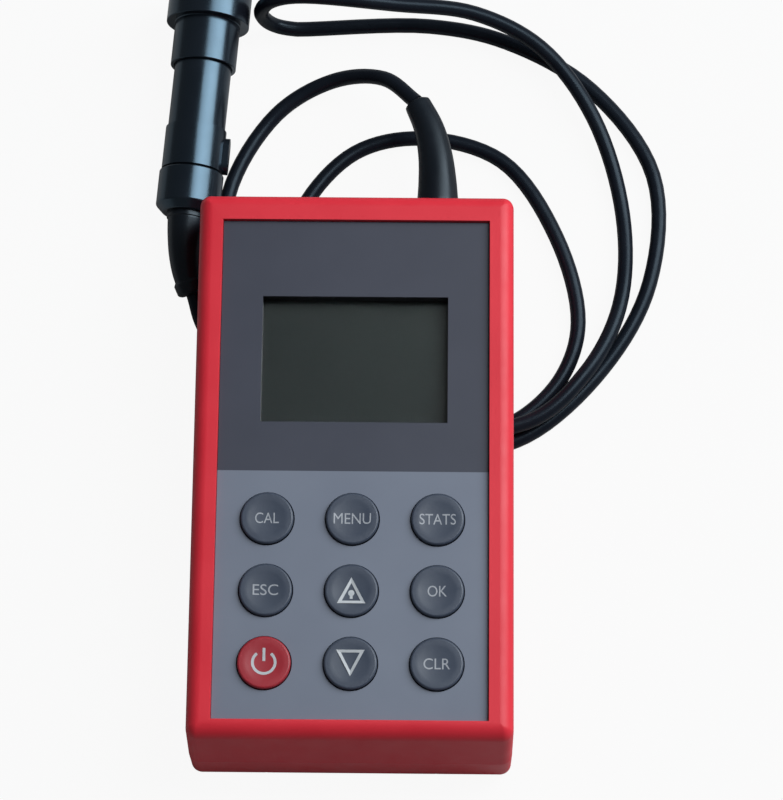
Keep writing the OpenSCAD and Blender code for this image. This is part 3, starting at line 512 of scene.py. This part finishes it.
legends = {
    "key_cal": (word_mesh("CAL", 4.7 * mm), print_grey),
    "key_menu": (word_mesh("MENU", 7.4 * mm), print_grey),
    "key_stats": (word_mesh("STATS", 7.2 * mm), print_grey),
    "key_escape": (word_mesh("ESC", 5.0 * mm), print_grey),
    "key_up": (triangle_mesh(point_up=True, dotted=True), print_white),
    "key_ok": (word_mesh("OK", 3.8 * mm), print_grey),
    "key_power": (power_mesh(), print_white),
    "key_down": (triangle_mesh(point_up=False, dotted=False), print_white),
    "key_clear": (word_mesh("CLR", 5.2 * mm), print_grey),
}
for node, (mark, ink) in legends.items():
    cap_material, cap_slot = (key_red, "key_red") if node == "key_power" else (key_grey, "key_grey")
    cap = finished_copy(node, node + "_cap", cap_material, soften=0.06 * mm, sharp=25)
    low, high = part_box(node)
    middle = (low + high) / 2
    work = bmesh.new()
    work.from_mesh(mark)
    bmesh.ops.triangulate(work, faces=work.faces)
    for v in work.verts:
        sag = dish_depth - (dish_ball - math.sqrt(dish_ball ** 2 - v.co.x ** 2 - v.co.y ** 2))
        v.co = Vector((middle.x + v.co.x, middle.y + v.co.y, high.z - sag + print_lift))
    bmesh.ops.recalc_face_normals(work, faces=work.faces)
    if sum(f.normal.z for f in work.faces) < 0:
        bmesh.ops.reverse_faces(work, faces=work.faces)
    printed = bpy.data.meshes.new(node + "_legend")
    work.to_mesh(printed)
    printed.materials.append(ink)
    legend = bpy.data.objects.new(node + "_legend", printed)
    scene.collection.objects.link(legend)
    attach(legend, node)

# Probe: turned from aluminium and anodised satin black, in four parts: rear cap,
# ring with its lug, barrel, and the guide sleeve that slides back over the barrel.
probe_black = finish("probe_black", (0.004, 0.005, 0.008), (0.007, 0.008, 0.012), (0.21, 0.26), patch=80,
                     grain_scale=3000, grain_depth=0.000008, specular=0.95, tint=(0.49, 0.77, 1.0))
for node in ("probe_rear_cap", "probe_ring", "probe_barrel", "probe_guide_sleeve"):
    turned = finished_copy(node, node + "_turned", probe_black, soften=0.2 * mm)

# Springs and winding: wire parts that a machine coils, two cone springs for the cells,
# the return spring of the probe's sleeve, and the copper winding on the measuring coil.


def new_form(name, inputs):
    """An empty geometry tree with named inputs for the sizes of a form, its place, turn and material."""
    form = bpy.data.node_groups.new(name, "GeometryNodeTree")
    form.interface.new_socket("Form", in_out="OUTPUT", socket_type="NodeSocketGeometry")
    for label, kind in inputs + (("Place", "Vector"), ("Turn", "Rotation"), ("Material", "Material")):
        form.interface.new_socket(label, in_out="INPUT", socket_type="NodeSocket" + kind)
    return form, form.nodes.new("NodeGroupInput").outputs


def end_form(form, sizes, shape):
    """Puts a form in its place, makes it real geometry and gives it its material."""
    placed = added(form, "GeometryNodeTransform", {
        "Geometry": shape, "Translation": sizes["Place"], "Rotation": sizes["Turn"]})
    real = added(form, "GeometryNodeRealizeInstances", {"Geometry": placed.outputs["Geometry"]})
    painted = added(form, "GeometryNodeSetMaterial", {
        "Geometry": real.outputs["Geometry"], "Material": sizes["Material"]})
    added(form, "NodeGroupOutput", {"Form": painted.outputs["Geometry"]})


def grown_piece(name, form, values):
    """The plain mesh that a geometry tree makes with these sizes, as one piece."""
    piece = bpy.data.objects.new(name, bpy.data.meshes.new(name))
    scene.collection.objects.link(piece)
    growth = piece.modifiers.new("form", "NODES")
    growth.node_group = form
    for item in form.interface.items_tree:
        if item.in_out == "INPUT":
            growth[item.identifier] = values[item.name]
    bpy.context.view_layer.update()
    made = bpy.data.meshes.new_from_object(piece.evaluated_get(bpy.context.evaluated_depsgraph_get()))
    piece.modifiers.remove(growth)
    piece.data = made
    made.name = name
    for face in made.polygons:
        face.use_smooth = True
    made.set_sharp_from_angle(angle=math.radians(40))
    return piece


def joined_piece(name, parts):
    """Several meshes of one body as one piece."""
    work = bmesh.new()
    for part in parts:
        work.from_mesh(part.data)
    data = bpy.data.meshes.new(name)
    work.to_mesh(data)
    for material in parts[0].data.materials:
        data.materials.append(material)
    for part in parts:
        bpy.data.objects.remove(part)
    piece = bpy.data.objects.new(name, data)
    scene.collection.objects.link(piece)
    return piece


spring_form, sizes = new_form("coiled_wire", (
    ("Foot radius", "Float"), ("Tip radius", "Float"), ("Height", "Float"), ("Turns", "Float"),
    ("Wire radius", "Float")))
spiral = added(spring_form, "GeometryNodeCurveSpiral", {
    "Resolution": 28, "Rotations": sizes["Turns"], "Start Radius": sizes["Foot radius"],
    "End Radius": sizes["Tip radius"], "Height": sizes["Height"]})
wire = added(spring_form, "GeometryNodeCurvePrimitiveCircle", {
    "Resolution": 8, "Radius": sizes["Wire radius"]})
drawn = added(spring_form, "GeometryNodeCurveToMesh", {
    "Curve": spiral.outputs["Curve"], "Profile Curve": wire.outputs["Curve"], "Fill Caps": True})
end_form(spring_form, sizes, drawn.outputs["Mesh"])

spring_steel = finish("spring_steel", (0.52, 0.52, 0.52), (0.64, 0.64, 0.64), (0.20, 0.30),
                      patch=900, grain_scale=6000, grain_depth=0.000004, metal=1.0)
spring_wire, plate_t = 0.7 * mm, 0.4 * mm
cell_spring_foot_r, cell_spring_tip_r, cell_spring_l = 4.5 * mm, 2.6 * mm, 2.6 * mm
contacts_low, contacts_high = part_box("battery_contacts")
cell_springs = []
for side, base_y, heading in (("left", contacts_low.y + plate_t, 1),
                              ("right", contacts_high.y - plate_t, -1)):
    cell_low, cell_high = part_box("battery_cell_" + side)
    cell_middle = (cell_low + cell_high) / 2
    cell_springs.append(grown_piece("battery_spring_" + side, spring_form, {
        "Foot radius": cell_spring_foot_r, "Tip radius": cell_spring_tip_r,
        "Height": cell_spring_l - spring_wire, "Turns": 3.0, "Wire radius": spring_wire / 2,
        "Place": (cell_middle.x, base_y + heading * spring_wire / 2, cell_middle.z),
        "Turn": (-heading * math.pi / 2, 0.0, 0.0), "Material": spring_steel}))
battery_springs = joined_piece("battery_spring_pair", cell_springs)
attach(battery_springs, "gauge")
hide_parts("battery_springs")

probe_turn = (probe_pitch - math.pi / 2, 0.0, -probe_lean)
barrel_end, spring_rest, spring_shut, sleeve_spring_r = 36.0, 5.6, 2.6, 4.6 * mm
spring_base = (probe_rear + probe_axis * barrel_end) * mm
sleeve_spring = grown_piece("sleeve_return_spring", spring_form, {
    "Foot radius": sleeve_spring_r, "Tip radius": sleeve_spring_r,
    "Height": spring_rest * mm - spring_wire, "Turns": 3.0, "Wire radius": spring_wire / 2,
    "Place": tuple(spring_base + probe_axis * spring_wire / 2), "Turn": probe_turn,
    "Material": spring_steel})
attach(sleeve_spring, "gauge")
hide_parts("probe_spring")
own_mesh(sleeve_spring)

# Measuring coil and pole: a bobbin of dark plastic with a copper winding, on a pole
# of polished hard steel whose round tip touches the coat that is measured.
bobbin_black = finish("bobbin_black", (0.018, 0.018, 0.020), (0.026, 0.026, 0.028), (0.4, 0.5),
                      patch=200, grain_scale=2400, grain_depth=0.00001)
finished_copy("probe_coil", "probe_coil_bobbin", bobbin_black, soften=0.08 * mm)
winding_copper = finish("winding_copper", (0.50, 0.16, 0.06), (0.62, 0.22, 0.09), (0.20, 0.30),
                        patch=700, grain_scale=5000, grain_depth=0.000004, metal=1.0)
winding_start, winding_length, winding_wire, winding_r = 25.1, 7.8, 0.3, 4.36 * mm
winding = grown_piece("probe_coil_winding", spring_form, {
    "Foot radius": winding_r, "Tip radius": winding_r, "Height": (winding_length - winding_wire) * mm,
    "Turns": 24.0, "Wire radius": winding_wire / 2 * mm,
    "Place": tuple((probe_rear + probe_axis * (winding_start + winding_wire / 2)) * mm),
    "Turn": probe_turn, "Material": winding_copper})
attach(winding, "gauge")
pole_steel = finish("pole_steel", (0.68, 0.68, 0.69), (0.78, 0.78, 0.79), (0.08, 0.16),
                    patch=300, grain_scale=5000, grain_depth=0.000003, metal=1.0)
finished_copy("probe_pole", "probe_pole_turned", pole_steel, soften=0.05 * mm)

# Circuit board: glass-fibre board with green solder mask over copper tracks, and small
# plated holes. Four screws hold it to posts of the front shell.
hole_share = 0.16
board_green, tree, shader, place = new_material("board_green")
tracks = added(tree, "ShaderNodeTexBrick", {
    "Vector": place.outputs["Object"], "Scale": 130, "Mortar Size": 0.06, "Mortar Smooth": 0.2,
    "Color1": (0.010, 0.085, 0.035, 1), "Color2": (0.013, 0.100, 0.042, 1),
    "Mortar": (0.030, 0.200, 0.085, 1)})
holes = added(tree, "ShaderNodeTexVoronoi", {"Vector": place.outputs["Object"], "Scale": 320})
is_hole = reckoned(tree, "LESS_THAN", holes.outputs["Distance"], hole_share)
board_face = mixed(tree, is_hole, tracks.outputs["Color"], (0.62, 0.60, 0.52))
surface(tree, place, shader, board_face, rough=(0.28, 0.38), patch=300,
        grain_scale=1500, grain_depth=0.00002)
finished_copy("circuit_board", "circuit_board_plate", board_green, soften=0.05 * mm)

# Chips under the board: moulded black bodies with bent legs of tinned metal in rows,
# soldered to the board's underside.
chip_black = finish("chip_black", (0.014, 0.014, 0.015), (0.022, 0.022, 0.024), (0.45, 0.55),
                    patch=400, grain_scale=3500, grain_depth=0.00001)
leg_tin = finish("leg_tin", (0.60, 0.60, 0.58), (0.70, 0.70, 0.68), (0.25, 0.35),
                 patch=900, grain_scale=6000, grain_depth=0.000003, metal=1.0)
leg_width, leg_t, leg_rise = 0.32 * mm, 0.12 * mm, 0.62 * mm
leg_line = ((0, 0), (0.28 * mm, 0), (0.38 * mm, leg_rise), (0.85 * mm, leg_rise))
leg_mesh = bmesh.new()
leg_rows = []
for out, rise in leg_line:
    leg_rows.append([leg_mesh.verts.new((x * leg_width / 2, out, rise + z * leg_t))
                     for x, z in ((-1, 0), (1, 0), (1, 1), (-1, 1))])
for a, b in zip(leg_rows, leg_rows[1:]):
    for k in range(4):
        leg_mesh.faces.new((a[k], a[(k + 1) % 4], b[(k + 1) % 4], b[k]))
leg_mesh.faces.new(leg_rows[0])
leg_mesh.faces.new(leg_rows[-1])
bmesh.ops.recalc_face_normals(leg_mesh, faces=leg_mesh.faces)
leg_data = bpy.data.meshes.new("chip_leg")
leg_mesh.to_mesh(leg_data)
leg = bpy.data.objects.new("chip_leg", leg_data)

legs_form, sizes = new_form("chip_legs", (
    ("Leg", "Object"), ("Count", "Int"), ("Pitch", "Float"), ("Row distance", "Float"), ("Rows", "Int")))
leg_shape = added(legs_form, "GeometryNodeObjectInfo", {"Object": sizes["Leg"]})
pitch_step = added(legs_form, "ShaderNodeCombineXYZ", {"X": sizes["Pitch"]})
row = added(legs_form, "GeometryNodeMeshLine", {
    "Count": sizes["Count"], "Offset": pitch_step.outputs["Vector"]})
half_pitch = reckoned(legs_form, "MULTIPLY", sizes["Pitch"], 0.5)
row_length = reckoned(legs_form, "MULTIPLY", sizes["Pitch"], sizes["Count"])
row_place = added(legs_form, "ShaderNodeCombineXYZ", {
    "X": reckoned(legs_form, "MULTIPLY_ADD", row_length, -0.5, half_pitch), "Y": sizes["Row distance"]})
centred = added(legs_form, "GeometryNodeTransform", {
    "Geometry": row.outputs["Mesh"], "Translation": row_place.outputs["Vector"]})
one_row = added(legs_form, "GeometryNodeInstanceOnPoints", {
    "Points": centred.outputs["Geometry"], "Instance": leg_shape.outputs["Geometry"]})
rows = added(legs_form, "GeometryNodePoints", {"Count": sizes["Rows"]})
index = legs_form.nodes.new("GeometryNodeInputIndex")
turn_share = reckoned(legs_form, "DIVIDE", index.outputs["Index"], sizes["Rows"])
row_turn = added(legs_form, "ShaderNodeCombineXYZ", {
    "Z": reckoned(legs_form, "MULTIPLY", turn_share, 2 * math.pi)})
all_rows = added(legs_form, "GeometryNodeInstanceOnPoints", {
    "Points": rows.outputs["Points"], "Instance": one_row.outputs["Instances"],
    "Rotation": row_turn.outputs["Vector"]})
end_form(legs_form, sizes, all_rows.outputs["Instances"])
chip_rows = {"microcontroller": (16, 0.8 * mm, 4), "signal_chip": (7, 1.27 * mm, 2)}
for node, (count, pitch, rows_round) in chip_rows.items():
    finished_copy(node, node + "_body", chip_black, soften=0.1 * mm)
    chip_low, chip_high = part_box(node)
    chip_middle = (chip_low + chip_high) / 2
    legs = grown_piece(node + "_legs", legs_form, {
        "Leg": leg, "Count": count, "Pitch": pitch, "Row distance": (chip_high.y - chip_low.y) / 2,
        "Rows": rows_round, "Place": (chip_middle.x, chip_middle.y, chip_high.z - leg_rise - leg_t),
        "Turn": (0.0, 0.0, 0.0), "Material": leg_tin})
    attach(legs, "gauge")
bpy.data.objects.remove(leg)

# Cells: two AA cells in printed sleeves, slate grey with a pale band at the plus end.
# The bright steel button and base stay bare, and a spring presses each cell on its plate.
band_length, bare_end, beyond = 14 * mm, 1.1 * mm, 1
for side, heading in (("left", 1), ("right", -1)):
    node = "battery_cell_" + side
    cell_low, cell_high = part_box(node)
    band_start = cell_high.y - band_length if heading > 0 else cell_low.y
    cell_sleeve, tree, shader, place = new_material(node + "_sleeve")
    in_band = inside(tree, place, (-beyond, band_start, -beyond),
                     (beyond, band_start + band_length, beyond))
    in_sleeve = inside(tree, place, (-beyond, cell_low.y + bare_end, -beyond),
                       (beyond, cell_high.y - bare_end, beyond))
    slate = clouded(tree, place, 90, (0.060, 0.072, 0.090), (0.075, 0.088, 0.108))
    sleeve_print = mixed(tree, in_band, slate, (0.52, 0.54, 0.56))
    surface(tree, place, shader, mixed(tree, in_sleeve, (0.62, 0.62, 0.60), sleeve_print),
            rough=(0.22, 0.32), patch=300, grain_scale=2600, grain_depth=0.000006)
    tree.links.new(reckoned(tree, "SUBTRACT", 1.0, in_sleeve), shader.inputs["Metallic"])
    finished_copy(node, node + "_can", cell_sleeve, soften=0.35 * mm)

# Small parts inside, each in its own plain finish: the display's frame and rubber strips,
# the switch mat, buzzer, crystal, header, lead, contact plates and screws.
small_finishes = {
    "lcd_frame": ((0.72, 0.72, 0.68), (0.78, 0.78, 0.74), (0.45, 0.55), 0.0),
    "probe_header": ((0.70, 0.69, 0.62), (0.76, 0.75, 0.68), (0.4, 0.5), 0.0),
    "lcd_connectors": ((0.28, 0.28, 0.28), (0.36, 0.36, 0.35), (0.6, 0.7), 0.0),
    "key_mat": ((0.45, 0.45, 0.44), (0.52, 0.52, 0.51), (0.55, 0.65), 0.0),
    "buzzer": ((0.012, 0.012, 0.013), (0.020, 0.020, 0.022), (0.4, 0.5), 0.0),
    "crystal": ((0.60, 0.60, 0.61), (0.70, 0.70, 0.71), (0.2, 0.3), 1.0),
    "cable_lead": ((0.10, 0.10, 0.11), (0.14, 0.14, 0.15), (0.5, 0.6), 0.0),
    "battery_contacts": ((0.62, 0.61, 0.58), (0.70, 0.69, 0.66), (0.2, 0.32), 1.0),
    "case_screws": ((0.10, 0.10, 0.105), (0.15, 0.15, 0.155), (0.3, 0.4), 1.0),
    "board_screws": ((0.55, 0.55, 0.56), (0.65, 0.65, 0.66), (0.25, 0.35), 1.0),
}
for node, (dark, light, rough, metal) in small_finishes.items():
    material = finish(node + "_finish", dark, light, rough, patch=120,
                      grain_scale=2400, grain_depth=0.00001, metal=metal)
    finished_copy(node, node + "_part", material, soften=0.05 * mm)

# Table and light: a plain white table, a large soft box at the upper right, brighter along its
# middle, that draws the broad streak along the probe, and a weak even light from all round.
table_half = 10.0
table_mesh = bpy.data.meshes.new("table")
table_mesh.from_pydata([(-table_half, -table_half, 0), (table_half, -table_half, 0),
                        (table_half, table_half, 0), (-table_half, table_half, 0)], [], [(0, 1, 2, 3)])
table = bpy.data.objects.new("table", table_mesh)
scene.collection.objects.link(table)
white_to_camera, white_in_mirrors = 0.93, 0.06
table_white, tree, shader, place = new_material("table_white", specular=0.1)
shader.inputs["Roughness"].default_value = 0.8
tree.links.new(clouded(tree, place, 2, (0.42, 0.42, 0.42), (0.45, 0.45, 0.45)), shader.inputs["Base Color"])
rays = tree.nodes.new("ShaderNodeLightPath").outputs
seen = reckoned(tree, "ADD", rays["Is Camera Ray"], rays["Is Transmission Ray"])
mirrored = reckoned(tree, "MULTIPLY", rays["Is Glossy Ray"], white_in_mirrors)
glow = added(tree, "ShaderNodeEmission", {"Strength": 1.0})
blend = added(tree, "ShaderNodeMixShader", {
    0: reckoned(tree, "MULTIPLY_ADD", seen, white_to_camera, mirrored),
    1: shader.outputs["BSDF"], 2: glow.outputs["Emission"]})
table_output = next(node for node in tree.nodes if node.type == "OUTPUT_MATERIAL")
tree.links.new(blend.outputs["Shader"], table_output.inputs["Surface"])
table.data.materials.append(table_white)


def soft_box(name, position, aim, size, power, colour):
    """A rectangular soft box that points at a place on the object."""
    lamp = bpy.data.objects.new(name, bpy.data.lights.new(name, "AREA"))
    lamp.data.shape = "RECTANGLE"
    lamp.data.size, lamp.data.size_y = size
    lamp.data.energy = power
    lamp.data.color = colour
    lamp.location = position
    lamp.rotation_mode = "QUATERNION"
    lamp.rotation_quaternion = (Vector(position) - Vector(aim)).to_track_quat("Z", "Y")
    scene.collection.objects.link(lamp)


lamp_aim = (0.0, 0.03, 0.01)
soft_box("window_lamp", (0.52, 0.28, 0.62), lamp_aim, size=(0.5, 0.9), power=8.2, colour=(0.92, 0.97, 1.0))
soft_box("window_core", (0.50, 0.27, 0.60), lamp_aim, size=(0.12, 0.7), power=0.8, colour=(0.96, 0.98, 1.0))
world = bpy.data.worlds.new("studio")
world.use_nodes = True
sky = world.node_tree.nodes["Background"].inputs
sky["Color"].default_value = (0.97, 0.985, 1.0, 1)
sky["Strength"].default_value = 0.12
scene.world = world
